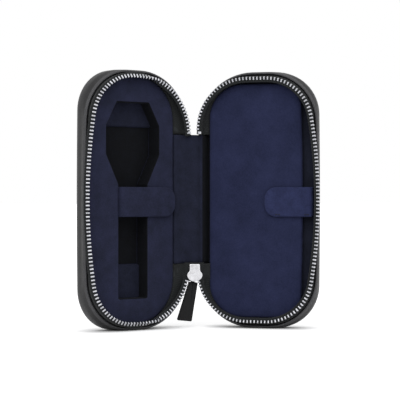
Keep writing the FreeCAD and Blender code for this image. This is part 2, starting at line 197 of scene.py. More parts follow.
# spun thread, hook and loop, and board: matt, with a speckle of fibre
def makeFibre(name, **look):
    material, tree, shader = newMaterial(name)
    place = (addNode(tree, "TexCoord"), "Object")
    speck = addNode(tree, "TexNoise", {"Vector": place, "Scale": patchScale(look["speck"]), "Detail": 3.0})
    colour = addNode(tree, "ValToRGB", {"Fac": (speck, "Fac")}, twoTones(look, 0.35, 0.65))
    bump = addNode(tree, "Bump", {"Height": (speck, "Fac"), "Strength": 0.5, "Distance": 0.2 * mm})
    setInputs(tree, shader, {"Base Color": (colour, "Color"), "Normal": (bump, "Normal"), "Roughness": 0.9})
    return material


# lengths in mm
insertSuede = makeSuede("navyMicrosuedeInsert", napPatch=11.0, fibre=1.1, dark="#1d2030", light="#2b2e46", sheen=0.08)
panelSuede = makeSuede("navyMicrosuedePanel", napPatch=16.0, fibre=1.1, dark="#20253f", light="#2e3353", sheen=0.10)
strapSuede = makeSuede("navyMicrosuedeStrap", napPatch=7.0, fibre=1.0, dark="#252a47", light="#343a5f", sheen=0.12)
spineSuede = makeSuede("navyMicrosuedeSpine", napPatch=9.0, fibre=1.0, dark="#181b28", light="#25283b", sheen=0.06)
# darker suede for the cushion, seen only in the narrow gap beside the panel: painted shade
cushionShadeSuede = makeSuede("navySuedeCushionPaintedShade", napPatch=9.0, fibre=1.0, dark="#1a1c27", light="#262938", sheen=0.05)
# near-black suede: painted shade, laid on the well's sunk sides, its pad and the lining's groove, where shade falls
shadeSuede = makeSuede("blackSuedePaintedShade", napPatch=8.0, fibre=1.0, dark="#050609", light="#0c0e14", sheen=0.02)
shellLeather = makeLeather("blackPebbledCalf", grain=1.3, dark="#101011", light="#1f1f21",
    rough=0.46, bump=0.35, shine=0.38)
# paler leather on the turned rim and the binding: painted highlight
highlightLeather = makeLeather("blackCalfPaintedHighlight", grain=0.9, dark="#2e2e30", light="#4d4d50",
    rough=0.42, bump=0.2, shine=0.45)
pullLeather = makeLeather("blackCalfPull", grain=1.0, dark="#08080a", light="#121213",
    rough=0.50, bump=0.25, shine=0.22)
tapeWoven = makeTape("blackWovenTape", thread=0.9, dark="#17191a", light="#26292b")
toothNickel = makeNickel("nickelPlatedTeeth", dark="#9fa0a5", light="#cfd0d5", rough=0.26)
sliderNickel = makeNickel("nickelPlatedSlider", dark="#c2c2c5", light="#dfdfe2", rough=0.22)
blackThread = makeFibre("blackSpunThread", speck=0.5, dark="#0c0c0d", light="#232325")
hookLoop = makeFibre("blackHookAndLoop", speck=0.8, dark="#0a0a0c", light="#1d1d20")
greyBoard = makeFibre("greyFibreBoard", speck=1.5, dark="#4a4a4b", light="#636364")
print("materials ready")

# points on each stretch of an outline
outlineSteps = dict(corner=16, end=4, side=12, gate=3, spine=14)


# points of an arc, all but its last
def arc(x, z, radius, start, stop, steps):
    angles = [start + (stop - start) * i / steps for i in range(steps)]
    return [(x + radius * cos(a), z + radius * sin(a)) for a in angles]


# rounded outline of one half in (u, z): from its spine side over the top, down the outer side and back below;
# a gate of two heights leaves it open between them on the spine side
def roundOutline(inner, outer, bulge, half, rInner, rOuter, gate=None):
    steps = outlineSteps
    centre, rise, top = outer - rOuter, half - rOuter, half - rInner
    lean = asin(rise / ((bulge ** 2 + rise ** 2) / (2.0 * bulge)))
    lift, sag = rise + rOuter * sin(lean), outer + bulge - centre - rOuter * cos(lean)
    reach = (lift ** 2 + sag ** 2) / (2.0 * sag)
    upper = arc(inner + rInner, top, rInner, pi, pi / 2.0, steps["corner"])
    upper += [(inner + rInner + (centre - inner - rInner) * i / steps["end"], half) for i in range(steps["end"])]
    upper += arc(centre, rise, rOuter, pi / 2.0, lean, steps["corner"])
    upper += arc(outer + bulge - reach, 0.0, reach, asin(lift / reach), 0.0, steps["side"])
    ring = upper + [(outer + bulge, 0.0)] + [(u, -z) for u, z in reversed(upper)]
    if gate:
        count, low, high = steps["gate"], gate[0] - middle, gate[1] - middle
        start = [(inner, high + (top - high) * i / count) for i in range(count)]
        ring = start + ring + [(inner, -top + (low + top) * (i + 1) / count) for i in range(count)]
    else:
        ring += [(inner, -top + 2.0 * top * i / steps["spine"]) for i in range(1, steps["spine"])]
    return [(u, z + middle) for u, z in ring]


# trays, zip and spine, in mm and degrees: outlines at the rim and the back, how the teeth lean and where they turn over
case = dict(rimSide=97.0, rimBulge=1.2, rimCorner=40.0, backSide=96.2, backBulge=0.4, backCorner=34.0,
    spineOffset=0.4, spineCorner=44.04, rimDrop=9.0, flareDepth=15.0, depth=28.0,
    sideRound=11.0, spineRound=10.0, endRound=6.0, wall=2.6)
chain = dict(inner=dict(base=3.4, lid=2.0), spineCorner=dict(base=44.0, lid=39.0), side=93.4, bulge=5.0, corner=36.5,
    half=94.7, depth=2.58, lean=dict(base=58.0, lid=75.0), turnOver=(25.0, 50.0), pitch=2.8, spineZone=20.0)
spine = dict(low=50.2, high=151.16)


def shareOf(value, low, high):
    return min(1.0, max(0.0, (value - low) / (high - low)))


def eased(share):
    return share * share * (3.0 - 2.0 * share)


# how far the rounded edge of the back has drawn in at a depth
def edgeDrop(radius, depth, inset=0.0):
    over, left = max(0.0, depth - (case["depth"] - radius)), radius - inset
    return left - sqrt(max(0.0, left ** 2 - over ** 2))


def rimOutline(inset, gate=None):
    return roundOutline(case["spineOffset"] + inset, case["rimSide"] - inset, case["rimBulge"], middle - inset,
        case["spineCorner"] - inset, case["rimCorner"] - inset, gate)


# outside of the tray, flared from rim to back
def shellOutline(depth, inset=0.0):
    flare = eased(shareOf(depth, case["rimDrop"], case["flareDepth"]))
    outer, bulge, corner = [case["rim" + key] + (case["back" + key] - case["rim" + key]) * flare
        for key in ("Side", "Bulge", "Corner")]
    side, spineIn, end = [edgeDrop(case[key], depth) + inset for key in ("sideRound", "spineRound", "endRound")]
    return roundOutline(case["spineOffset"] + spineIn, outer - side, bulge, middle - end,
        case["spineCorner"] - spineIn, corner - side)


# inside of the tray
def innerOutline(depth, inset):
    side, spineIn, end = [edgeDrop(case[key], depth, inset) + inset for key in ("sideRound", "spineRound", "endRound")]
    return roundOutline(case["spineOffset"] + spineIn, case["rimSide"] - side, case["rimBulge"], middle - end,
        case["spineCorner"] - spineIn, case["rimCorner"] - side)


# middle line of one half's zip
def chainLine(half, gate):
    outline = roundOutline(chain["inner"][half], chain["side"], chain["bulge"], chain["half"],
        chain["spineCorner"][half], chain["corner"], gate)
    return [Vector((u, chain["depth"], z)) for u, z in outline]


# way each tooth's heel points: outwards on the base's far side, inwards elsewhere
def heelsOf(half, line):
    heels = []
    for i, p in enumerate(line):
        a, b = line[max(0, i - 1)], line[min(len(line) - 1, i + 1)]
        out = (b - a).cross(Vector((0.0, 1.0, 0.0))).normalized()
        turned = eased(shareOf(p.x, *chain["turnOver"])) if half == "base" else 0.0
        lean = radians(chain["lean"][half]) * (2.0 * turned - 1.0)
        heels.append(out * sin(lean) + Vector((0.0, cos(lean), 0.0)))
    return heels


# rows of points from (outline, depth) pairs
def placeRows(at, rows):
    return [[at(u, depth, z) for u, z in outline] for outline, depth in rows]


# (outline, depth) pairs of a rolled edge, from (inset, depth) pairs counted from a face
def rolled(outline, face, roll):
    return [(outline(inset), face + depth) for inset, depth in roll]


# (outline, depth) pairs down inside a tray
def sunkRows(inset, depths):
    return [(innerOutline(depth, inset), depth) for depth in depths]


def shrunk(ring, centre, share):
    return [(centre[0] + (x - centre[0]) * share, centre[1] + (z - centre[1]) * share) for x, z in ring]


def addObject(name, data):
    made = bpy.data.objects.new(name, data)
    scene.collection.objects.link(made)
    return made


def linkPiece(name, mesh, material, sharp=35.0):
    mesh.materials.clear()
    mesh.materials.append(material)
    mesh.shade_smooth()
    mesh.set_sharp_from_angle(angle=radians(sharp))
    return addObject(name, mesh)


# rows of points joined into a skin, with distances along and across kept as its UV map
def skinMesh(name, rows, loop=True, ring=False, capped=True, ends=False):
    count, rowCount = len(rows[0]), len(rows)
    bm = bmesh.new()
    uvLayer = bm.loops.layers.uv.new("along")
    verts = [[bm.verts.new(p) for p in row] for row in rows]
    midRow, midColumn = rows[rowCount // 2], [row[count // 2] for row in rows]
    along, across = [0.0], [0.0]
    for i in range(count):
        along.append(along[-1] + (midRow[(i + 1) % count] - midRow[i]).length)
    for r in range(rowCount):
        across.append(across[-1] + (midColumn[(r + 1) % rowCount] - midColumn[r]).length)
    for r in range(rowCount if ring else rowCount - 1):
        for i in range(count if loop else count - 1):
            corners = [(r, i), (r, i + 1), (r + 1, i + 1), (r + 1, i)]
            face = bm.faces.new([verts[a % rowCount][b % count] for a, b in corners])
            for corner, (a, b) in zip(face.loops, corners):
                corner[uvLayer].uv = (along[b], across[a])
    flats = [verts[0], verts[-1]] if capped else []
    if ends:
        flats += [[row[0] for row in verts], [row[-1] for row in verts]]
    for flat in flats:
        bm.faces.new(flat)
    bmesh.ops.recalc_face_normals(bm, faces=bm.faces)
    mesh = bpy.data.meshes.new(name)
    bm.to_mesh(mesh)
    bm.free()
    return mesh


def skinPiece(name, rows, material, sharp=35.0, **form):
    return linkPiece(name, skinMesh(name, rows, **form), material, sharp)


# smooth run of points through a few given ones
def smoothRun(points, steps):
    padded = [points[0] * 2 - points[1], *points, points[-1] * 2 - points[-2]]
    run = []
    for k in range(1, len(padded) - 2):
        a, b, c, d = padded[k - 1:k + 3]
        for i in range(steps):
            t = i / steps
            run.append(0.5 * (2 * b + (c - a) * t + (2 * a - 5 * b + 4 * c - d) * t ** 2
                + (3 * b - a - 3 * c + d) * t ** 3))
    return run + [points[-1]]


# live modifiers made part of the mesh
def applied(piece):
    graph = bpy.context.evaluated_depsgraph_get()
    mesh = bpy.data.meshes.new_from_object(piece.evaluated_get(graph))
    piece.modifiers.clear()
    piece.data = mesh
    return piece


def thicken(piece, thickness):
    solid = piece.modifiers.new("thickness", "SOLIDIFY")
    solid.thickness, solid.offset = thickness * mm, 0.0
    return applied(piece)


# leather shells: hollow inside, lip, turned rim, round side, flat back; lip pairs are (inset, drop below the rim)
shellLook = dict(hollow=(25.4, 20.0), lip=[(0.0, 3.0), (0.0, 0.5), (-0.4, 0.1)], rimRound=1.1, rimSteps=5,
    rows=[10.4, 12.0, 13.5, 15.0, 17.0, 18.6, 20.0, 21.3, 22.5, 23.6,
    24.6, 25.5, 26.2, 26.8, 27.3, 27.7, 27.92, 28.0], flats=(0.9, 0.6, 0.3))


def makeShell(half):
    rim, wall, r, steps = case["rimDrop"], case["wall"], shellLook["rimRound"], shellLook["rimSteps"]
    rows = sunkRows(wall, shellLook["hollow"])
    rows += [(rimOutline(wall + inset), rim + drop) for inset, drop in shellLook["lip"]]
    turned = len(rows)
    for i in range(steps + 1):
        a = pi / 2.0 * i / steps
        depth = rim + r * (1.0 - cos(a))
        rows.append((shellOutline(depth, r * (1.0 - sin(a))), depth))
    rows += [(shellOutline(depth), depth) for depth in shellLook["rows"]]
    rows = placeRows(halfAt[half], rows)
    back = rows[-1]
    centre = sum(back, Vector()) / len(back)
    rows += [[centre + (p - centre) * share for p in back] for share in shellLook["flats"]]
    piece = skinPiece(half + "LeatherShell", rows, shellLeather)
    # the turned rim's faces take the paler leather as a painted highlight
    piece.data.materials.append(highlightLeather)
    for index in range(turned * len(back), (turned + steps) * len(back)):
        piece.data.polygons[index].material_index = 1
    return piece


# turned leather edge that stands along the rim beside the tape, its underside flattened; its paler leather is a painted
# highlight
bindingLook = dict(inset=1.25, half=0.95, height=1.1, drop=0.1, under=0.3, sides=10, gate=(50.4, 151.6))


def makeBinding(half):
    look, rows = bindingLook, []
    for i in range(look["sides"]):
        a = 2.0 * pi * i / look["sides"]
        depth = case["rimDrop"] + look["drop"] - look["height"] * max(-look["under"], sin(a))
        rows.append((rimOutline(look["inset"] + look["half"] * cos(a), look["gate"]), depth))
    return skinPiece(half + "TurnedEdge", placeRows(halfAt[half], rows), highlightLeather, loop=False, ring=True,
        capped=False, ends=True)


# woven tape: out from the lining's edge, up inside the rim, then over to the teeth; root is the outline that it
# rises from and its depth, beside is where it is drawn back to next to the slider
tapeLook = dict(thickness=0.8, inset=3.4, top=8.0, along=(2.9, 1.2, -0.7), gate=(50.0, 151.6), sliderTop=36.0, fade=3.0,
    root=dict(base=((13.4, 93.4, 1.2, 96.4, 35.2, 33.4), 10.5), lid=((9.3, 92.8, 1.2, 95.2, 35.0, 32.5), 11.5)),
    beside=[(9.6, 8.2), (7.6, 6.0), (7.0, 4.9), (6.6, 4.0)], steps=4)


def makeTapePiece(half):
    at, gate = halfAt[half], tapeLook["gate"]
    root, rootDepth = tapeLook["root"][half]
    lines = [[Vector((u, rootDepth, z)) for u, z in roundOutline(*root, gate)],
        [Vector((u, tapeLook["top"], z)) for u, z in rimOutline(tapeLook["inset"], gate)]]
    line = chainLine(half, gate)
    heels = heelsOf(half, line)
    lines += [[p + heel * along for p, heel in zip(line, heels)] for along in tapeLook["along"]]
    count, low = len(line), tapeLook["sliderTop"]
    for i in range(count // 2, count):
        if line[i].x > chain["spineZone"]:
            continue
        held = shareOf(line[i].z, low, low + tapeLook["fade"])
        for row, (u, d) in zip(lines[1:], tapeLook["beside"]):
            row[i] = row[i].lerp(Vector((u, d, row[i].z)), held)
    columns = [smoothRun([row[i] for row in lines], tapeLook["steps"]) for i in range(count)]
    rows = [[at(*column[k]) for column in columns] for k in range(len(columns[0]))]
    piece = skinPiece(half + "ZipTape", rows, tapeWoven, loop=False, capped=False)
    return thicken(piece, tapeLook["thickness"])


# one zip tooth: a rounded bar with a slight waist, as (along, width, thickness) stations
toothLook = dict(stations=[(-1.65, 0.7, 1.2), (-1.4, 1.3, 2.1), (-0.85, 1.4, 2.3), (0.1, 1.3, 1.9), (0.8, 1.3, 2.2),
    (1.3, 1.4, 2.2), (1.6, 0.9, 1.5)], reach=dict(base=1.0, lid=0.74),
    startGap=dict(base=2.6, lid=4.05), sliderGap=dict(base=36.4, lid=35.4))


def makeToothShape(half):
    rows, reach = [], toothLook["reach"][half]
    for length, width, thick in toothLook["stations"]:
        w, t = width / 2.0, thick / 2.0
        ring = [(t, w * 0.5), (t * 0.7, w), (-t * 0.7, w), (-t, w * 0.5)]
        ring += [(-x, -z) for x, z in ring]
        rows.append([Vector((x * mm, length * reach * mm, z * mm)) for x, z in ring])
    return skinPiece("toothShape", rows, toothNickel, 50.0)


# Geometry Nodes: the shape repeated along a path at a pitch, its Y held to the path's "heel" direction
def makeRepeatTree(name):
    tree = bpy.data.node_groups.new(name, "GeometryNodeTree")
    sockets = {}
    for label, kind in (("Geometry", "Geometry"), ("Shape", "Object"), ("Pitch", "Float"), ("Material", "Material")):
        made = tree.interface.new_socket(label, in_out="INPUT", socket_type="NodeSocket" + kind)
        sockets[label] = made.identifier
    tree.interface.new_socket("Geometry", in_out="OUTPUT", socket_type="NodeSocketGeometry")
    given = addNode(tree, "NodeGroupInput")
    line = addNode(tree, "MeshToCurve", {"Mesh": (given, "Geometry")})
    spaced = addNode(tree, "ResampleCurve", {"Curve": (line, "Curve"), "Length": (given, "Pitch")}, mode="LENGTH")
    heel = addNode(tree, "InputNamedAttribute", {"Name": "heel"}, data_type="FLOAT_VECTOR")
    tangent = addNode(tree, "InputTangent")
    turn = addNode(tree, "FunctionNodeAxesToRotation", {0: (tangent, "Tangent"), 1: (heel, "Attribute")},
        primary_axis="Z", secondary_axis="Y")
    shape = addNode(tree, "ObjectInfo", {"Object": (given, "Shape")})
    copies = addNode(tree, "InstanceOnPoints", {"Points": (spaced, "Curve"), "Instance": (shape, "Geometry"),
        "Rotation": (turn, "Rotation")})
    real = addNode(tree, "RealizeInstances", {"Geometry": (copies, "Instances")})
    painted = addNode(tree, "SetMaterial", {"Geometry": (real, "Geometry"), "Material": (given, "Material")})
    addNode(tree, "NodeGroupOutput", {"Geometry": (painted, "Geometry")})
    return tree, sockets


repeatTree, repeatSockets = makeRepeatTree("repeatAlongPath")


def repeatAlong(name, points, heels, shape, pitch, material):
    mesh = bpy.data.meshes.new(name)
    mesh.from_pydata([tuple(p) for p in points], [(i, i + 1) for i in range(len(points) - 1)], [])
    heel = mesh.attributes.new("heel", "FLOAT_VECTOR", "POINT")
    heel.data.foreach_set("vector", [c for h in heels for c in h])
    piece = addObject(name, mesh)
    repeat = piece.modifiers.new("repeat", "NODES")
    repeat.node_group = repeatTree
    repeat[repeatSockets["Shape"]] = shape
    repeat[repeatSockets["Pitch"]] = pitch * mm
    repeat[repeatSockets["Material"]] = material
    return applied(piece)


# rest of a path from a distance along it
def trimmed(points, start):
    kept, run = [], 0.0
    for a, b in zip(points, points[1:]):
        step = (b - a).length
        if run <= start < run + step:
            kept.append(a.lerp(b, (start - run) / step))
        run += step
        if run > start:
            kept.append(b)
    return kept


# the chain ends above the slider, on the way up the spine side
def makeTeeth(half, shape):
    at, stop = halfAt[half], toothLook["sliderGap"][half]
    line = trimmed(chainLine(half, tapeLook["gate"]), toothLook["startGap"][half])
    last = max(i for i, p in enumerate(line) if p.x > chain["spineZone"])
    while line[last].z < stop:
        last += 1
    share = (stop - line[last - 1].z) / (line[last].z - line[last - 1].z)
    line = line[:last] + [line[last - 1].lerp(line[last], share)]
    points = [at(*p) for p in line]
    heels = [(at(*(p + heel)) - at(*p)).normalized() for p, heel in zip(line, heelsOf(half, line))]
    return repeatAlong(half + "ZipTeeth", points, heels, shape, chain["pitch"], toothNickel)


for half in halfAt:
    toothShape = makeToothShape(half)
    for piece, node, slot in ((makeShell(half), "_shell", "black_leather"),
            (makeBinding(half), "_rim_binding", "black_leather_edge"),
            (makeTapePiece(half), "_zip_tape", "black_tape"),
            (makeTeeth(half, toothShape), "_zip_teeth", "zip_metal")):
        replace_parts(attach(piece, half + "_half"), half + node)
    bpy.data.objects.remove(toothShape)
print("shells, tapes and teeth ready")


# polygon moved outwards (or inwards, if negative) with mitred corners; points run anticlockwise
def offsetPolygon(points, distance):
    moved, count = [], len(points)
    for i in range(count):
        before, here, after = [Vector(points[(i + k) % count]) for k in (-1, 0, 1)]
        e1, e2 = (here - before).normalized(), (after - here).normalized()
        n1, n2 = Vector((e1.y, -e1.x)), Vector((e2.y, -e2.x))
        moved.append(here + (n1 + n2) * (distance / (1.0 + n1.dot(n2))))
    return moved


def roundPolygon(points, radius, steps=6):
    ring, count, most = [], len(points), 0.45  # most of an edge that one corner takes
    for i in range(count):
        before, here, after = [Vector(points[(i + k) % count]) for k in (-1, 0, 1)]
        e1, e2 = (before - here).normalized(), (after - here).normalized()
        half = acos(max(-1.0, min(1.0, e1.dot(e2)))) / 2.0
        cut = min(radius / tan(half), (before - here).length * most, (after - here).length * most)
        a, b = here + e1 * cut, here + e2 * cut
        for k in range(steps + 1):
            t = k / steps
            ring.append(a * (1 - t) ** 2 + here * 2 * t * (1 - t) + b * t ** 2)
    return ring


# padded bed of the base half, with the keyhole well and its pad, in mm: roll lists are (inset, depth from the face),
# shelves are (height, drop) and the pad's roll is (share of the well, rise)
bed = dict(face=9.0, edge=13.6, inset=4.2, outerCorner=33.4, centre=52.41, slotHalf=13.2, wideHalf=24.5, topHalf=14.8,
    low=24.4, waist=112.0, wideLow=135.0, wideHigh=157.0, top=175.0, pocketLow=50.0, corner=2.0,
    clear=3.6, sunk=(24.0, 18.0), shoulder=(3.9, 13.0),
    edgeRoll=[(0.0, 2.0), (0.0, 1.6), (0.35, 0.75), (1.0, 0.25), (2.0, 0.0), (3.4, 0.0)],
    wellRoll=[(2.3, 0.0), (1.1, 0.0), (0.55, 0.143), (0.165, 0.55), (0.0, 1.1), (0.0, 6.0), (0.0, 13.4)],
    shelf=20.0, shelfSpare=0.1, shelfSteps=4,
    shelves=[[(24.2, 0.0), (40.0, 0.0), (48.6, 0.0), (49.6, 0.4), (50.0, 1.4), (50.0, 2.6)],
    [(175.2, 0.0), (165.0, 0.0), (158.4, 0.0), (157.4, 0.4), (157.0, 1.4), (157.0, 2.6)]],
    padTop=22.1, padGap=0.3, padEnd=0.4, padRoll=[(1.0, 0.25), (0.96, 0.1), (0.9, 0.02), (0.75, 0.0), (0.4, 0.0)])


def bedOutline(inset):
    return roundOutline(bed["edge"] + inset, case["rimSide"] - bed["inset"] - inset, case["rimBulge"],
        middle - bed["inset"] - inset, case["spineCorner"] - bed["edge"] + bed["inset"] - inset,
        bed["outerCorner"] - inset)


def keyhole(offset):
    right = [(bed["slotHalf"], bed["low"]), (bed["slotHalf"], bed["waist"]), (bed["wideHalf"], bed["wideLow"]),
        (bed["wideHalf"], bed["wideHigh"]), (bed["topHalf"], bed["top"])]
    ring = [(bed["centre"] + h, z) for h, z in right] + [(bed["centre"] - h, z) for h, z in reversed(right)]
    return [tuple(p) for p in roundPolygon(offsetPolygon(ring, offset), bed["corner"])]


def shelfHalf(z):
    if z < middle:
        return bed["slotHalf"]
    share = (bed["top"] - z) / (bed["top"] - bed["wideHigh"])
    return bed["topHalf"] + share * (bed["wideHalf"] - bed["topHalf"])


def makeBed():
    bm = bmesh.new()
    walls, floors = [], []

    # dark marks the well's rows whose sunk side faces take painted shade
    def addRows(rows, dark=False):
        rings = [[bm.verts.new(p) for p in row] for row in placeRows(baseAt, rows)]
        for a, b, (_, depth) in zip(rings, rings[1:], rows):
            for i in range(len(a)):
                j = (i + 1) % len(a)
                made = bm.faces.new((a[i], a[j], b[j], b[i]))
                if dark and depth > bed["face"]:
                    walls.append(made)
        return rings

    rows = sunkRows(bed["clear"], bed["sunk"]) + [(rimOutline(bed["shoulder"][0]), bed["shoulder"][1])]
    outer = addRows(rows + rolled(bedOutline, bed["face"], bed["edgeRoll"]))
    well = addRows(rolled(keyhole, bed["face"], bed["wellRoll"]), dark=True)
    bm.faces.new(outer[0])
    bm.faces.new(well[-1])
    bmesh.ops.triangle_fill(bm, edges=[e for e in bm.edges if e.is_boundary], use_beauty=True)
    steps = bed["shelfSteps"]
    for profile in bed["shelves"]:
        rows = [[bm.verts.new(baseAt(bed["centre"] + (shelfHalf(z) + bed["shelfSpare"]) * k / steps,
            bed["shelf"] + drop, z)) for k in range(-steps, steps + 1)] for z, drop in profile]
        for a, b in zip(rows, rows[1:]):
            floors += [bm.faces.new((a[i], a[i + 1], b[i + 1], b[i])) for i in range(2 * steps)]
    bmesh.ops.recalc_face_normals(bm, faces=bm.faces)
    bm.faces.index_update()
    # the well's sunk sides take the near-black suede and its shelf bottoms the spine's darker navy: painted shade in
    # the well
    painted = {made.index: 1 for made in walls} | {made.index: 2 for made in floors}
    mesh = bpy.data.meshes.new("bed")
    bm.to_mesh(mesh)
    bm.free()
    piece = linkPiece("wellBed", mesh, insertSuede)
    mesh.materials.append(shadeSuede)
    mesh.materials.append(spineSuede)
    for index, slot in painted.items():
        mesh.polygons[index].material_index = slot
    return piece


# the pad at the pocket's foot takes the near-black suede as painted shade
def makeWellPad():
    low, high = bed["pocketLow"] + bed["padEnd"], bed["wideHigh"] - bed["padEnd"]
    ring = [(u, min(high, max(low, z))) for u, z in keyhole(-bed["padGap"])]
    rows = [(shrunk(ring, (bed["centre"], middle), share), bed["padTop"] + rise) for share, rise in bed["padRoll"]]
    return skinPiece("wellPad", placeRows(baseAt, rows), shadeSuede)


# padded panel of the lid half, on its cushion: roll lists are (inset, depth from the back, face or top)
panel = dict(face=9.0, back=13.4, inner=9.5, outer=83.4, bulge=1.0, half=91.5, corner=18.0, spineCorner=26.0, drop=0.6,
    backRoll=[(0.9, 0.0), (0.25, -0.5), (0.0, -1.3)],
    faceRoll=[(0.0, 1.9), (0.25, 1.15), (0.8, 0.55), (1.7, 0.22), (3.2, 0.06), (5.5, 0.0)],
    crown=0.25, crownShares=(0.88, 0.72, 0.5, 0.25))
cushion = dict(top=15.3, clear=3.7, sunk=(24.0, 19.0, 17.0), roll=[(4.0, 0.7), (4.6, 0.2), (5.8, 0.0), (14.0, 0.0)])


def panelOutline(inset):
    ring = roundOutline(panel["inner"] + inset, panel["outer"] - inset, panel["bulge"], panel["half"] - inset,
        panel["spineCorner"] - inset, panel["corner"] - inset)
    return [(u, z - panel["drop"]) for u, z in ring]


def makePanel():
    face, centre = panel["face"], ((panel["inner"] + panel["outer"]) / 2.0, middle)
    rows = rolled(panelOutline, panel["back"], panel["backRoll"]) + rolled(panelOutline, face, panel["faceRoll"])
    ring, crown = rows[-1][0], panel["crown"]
    rows += [(shrunk(ring, centre, share), face - crown * (1.0 - share ** 2)) for share in panel["crownShares"]]
    return skinPiece("lidPanel", placeRows(lidAt, rows), panelSuede)


# the cushion's darker suede is painted shade for the gap round the panel
def makeCushion():
    rows = sunkRows(cushion["clear"], cushion["sunk"]) + rolled(rimOutline, cushion["top"], cushion["roll"])
    return skinPiece("lidCushion", placeRows(lidAt, rows), cushionShadeSuede)


for piece, body, node, fill in ((makeBed(), "base_half", "base_insert", 0.9),
        (makeWellPad(), "base_half", "base_well_pad", 0.8), (makePanel(), "lid_half", "lid_panel", 0.9),
        (makeCushion(), "lid_half", "lid_cushion", 0.9)):
    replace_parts(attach(piece, body), node)
print("bed, well, panel and cushion ready")

# straps: a doubled suede band that comes up out of its slot, turns over and lies flat to a rounded tip;
# the curves square off its section, and bendFrom and bendTo, as (u, d) from its turn, are read but bend nothing
strap = dict(width=23.0, middle=98.5, thickness=2.1, depth=7.1, tipCorner=9.0, turn=1.6, rise=1.0,
    turnSteps=6, steps=8, sides=20, widthCurve=0.22, faceCurve=0.55,
    tipThickness=0.55, tipWidth=0.85, bendFrom=(0.6, 2.6), bendTo=(-2.2, -0.2),
    base=dict(root=65.0, tip=14.1, foot=19.6, suede=insertSuede),
    lid=dict(root=92.0, tip=55.0, foot=15.0, suede=strapSuede))


# middle line of a strap in (u, d), and its share of the full width
def strapPath(half):
    root, tip, foot = [strap[half][key] for key in ("root", "tip", "foot")]
    r, depth, corner, steps = strap["turn"], strap["depth"], strap["tipCorner"], strap["steps"]
    start, end = root - r, tip + corner
    line = [(root, foot), (root, (foot + depth) / 2.0 + strap["rise"])]
    line += arc(start, depth + r, r, 0.0, -pi / 2.0, strap["turnSteps"])
    line += [(start + (end - start) * i / steps, depth) for i in range(steps + 1)]
    path = [(Vector(p), 1.0) for p in line]
    for i in range(1, steps + 1):
        a = pi / 2.0 * i / steps
        path.append((Vector((end - corner * sin(a), depth)), 1.0 - corner * (1.0 - cos(a)) / (strap["width"] / 2.0)))
    return path


def makeStrap(half):
    at, path, rows = halfAt[half], strapPath(half), []
    for i, (p, share) in enumerate(path):
        a, b = path[max(0, i - 1)][0], path[min(len(path) - 1, i + 1)][0]
        along = (b - a).normalized()
        normal = Vector((along.y, -along.x))  # towards the face that shows
        t, w = strap["thickness"] / 2.0, strap["width"] / 2.0 * share
        if i == len(path) - 1:
            t, w = t * strap["tipThickness"], w * strap["tipWidth"]
        ring = []
        for k in range(strap["sides"]):
            angle = 2.0 * pi * k / strap["sides"]
            c, s = cos(angle), sin(angle)
            z = w * copysign(abs(c) ** strap["widthCurve"], c)
            q = p + normal * (t * copysign(abs(s) ** strap["faceCurve"], s))
            ring.append(at(q.x, q.y, strap["middle"] + z))
        rows.append(ring)
    return skinPiece(half + "Strap", rows, strap[half]["suede"], 60.0)


for half in halfAt:
    piece = makeStrap(half)
    start, end = [halfAt[half](strap[half]["root"] + u, strap["depth"] + d, strap["middle"])
        for u, d in (strap["bendFrom"], strap["bendTo"])]
    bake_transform(piece)
    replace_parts(piece, half + "_strap", half + "_strap_root")
print("straps ready")


# point of a half in the frame that halves the opening: side is -1 base, +1 lid
def spinePoint(side, out, depth):
    a = lidTurn / 2.0
    return Vector((side * (out * cos(a) + depth * sin(a)), depth * cos(a) - out * sin(a)))


# swells of a strip, as (height, turn per mm up, turn across)
stripWaves = dict(rows=40, swells=[(1.0, 0.21, 3.0), (0.6, 0.47, -5.0)])


# strip across the spine, from the base half round to the lid half
def makeStrip(name, run, look):
    rows, steps = [], stripWaves["rows"]
    for k in range(steps + 1):
        z = look["low"] + (look["high"] - look["low"]) * k / steps
        row = []
        for i, p in enumerate(run):
            share = i / (len(run) - 1)
            swell = sum(h * sin(z * up + share * across) for h, up, across in stripWaves["swells"])
            row.append(spineAt(p.x, p.y + look["wave"] * sin(pi * share) * swell, z))
        rows.append(row)
    piece = skinPiece(name, rows, look["material"], loop=False, capped=False)
    return thicken(piece, look["thickness"])


# the spine's lining, darker in the groove beside the panel as painted shade; its outer leather, over both shells; and
# the free ends of both tapes, meeting between the slider's plates. Runs go through (side, out, depth) points of the
# halves and (x, y) points between them, and each strip's bend is read but bends nothing
lining = dict(thickness=1.0, wave=0.10, low=spine["low"], high=spine["high"], bend=(9.5, 5.0), steps=4, groove=7.2,
    material=spineSuede, slot="navy_suede", node="spine_lining", rests=["wellBed", "lidCushion"],
    run=[(-1, 12.9, 10.0), (-1, 12.1, 9.0), (-1, 10.2, 8.4), (-8.0, 4.7), (-3.5, 3.9), (0.0, 3.3), (3.0, 3.9),
    (1, 2.2, 7.2), (1, 3.6, 7.9), (1, 4.8, 9.4), (1, 5.6, 12.0), (1, 7.0, 14.6), (1, 8.35, 15.0)])
leatherSpine = dict(thickness=1.15, wave=0.06, low=spine["low"] + 1.0, high=spine["high"], bend=(5.5, 8.0), steps=6,
    material=shellLeather, slot="black_leather", node="spine_leather",
    rests=["baseLeatherShell", "lidLeatherShell"],
    run=[(-1, -0.28, 19.0), (-1, -0.28, 14.0), (-1, -0.2, 9.6), (0.0, 6.8),
    (1, -0.2, 9.6), (1, -0.28, 14.0), (1, -0.28, 19.0)])
tapeEnd = dict(thickness=0.7, wave=0.0, low=36.4, high=50.9, bend=(6.4, 0.4), steps=4,
    material=tapeWoven, slot="black_tape", rests=["baseZipTape", "lidZipTape"],
    run=[(-7.8, 0.7), (-4.2, 0.05), (0.0, 0.0), (4.2, 0.05), (7.8, 0.7)])
fold = spineAt(0.0, 0.0, 0.0)
across = (spineAt(1.0, 0.0, 0.0) - fold).normalized()
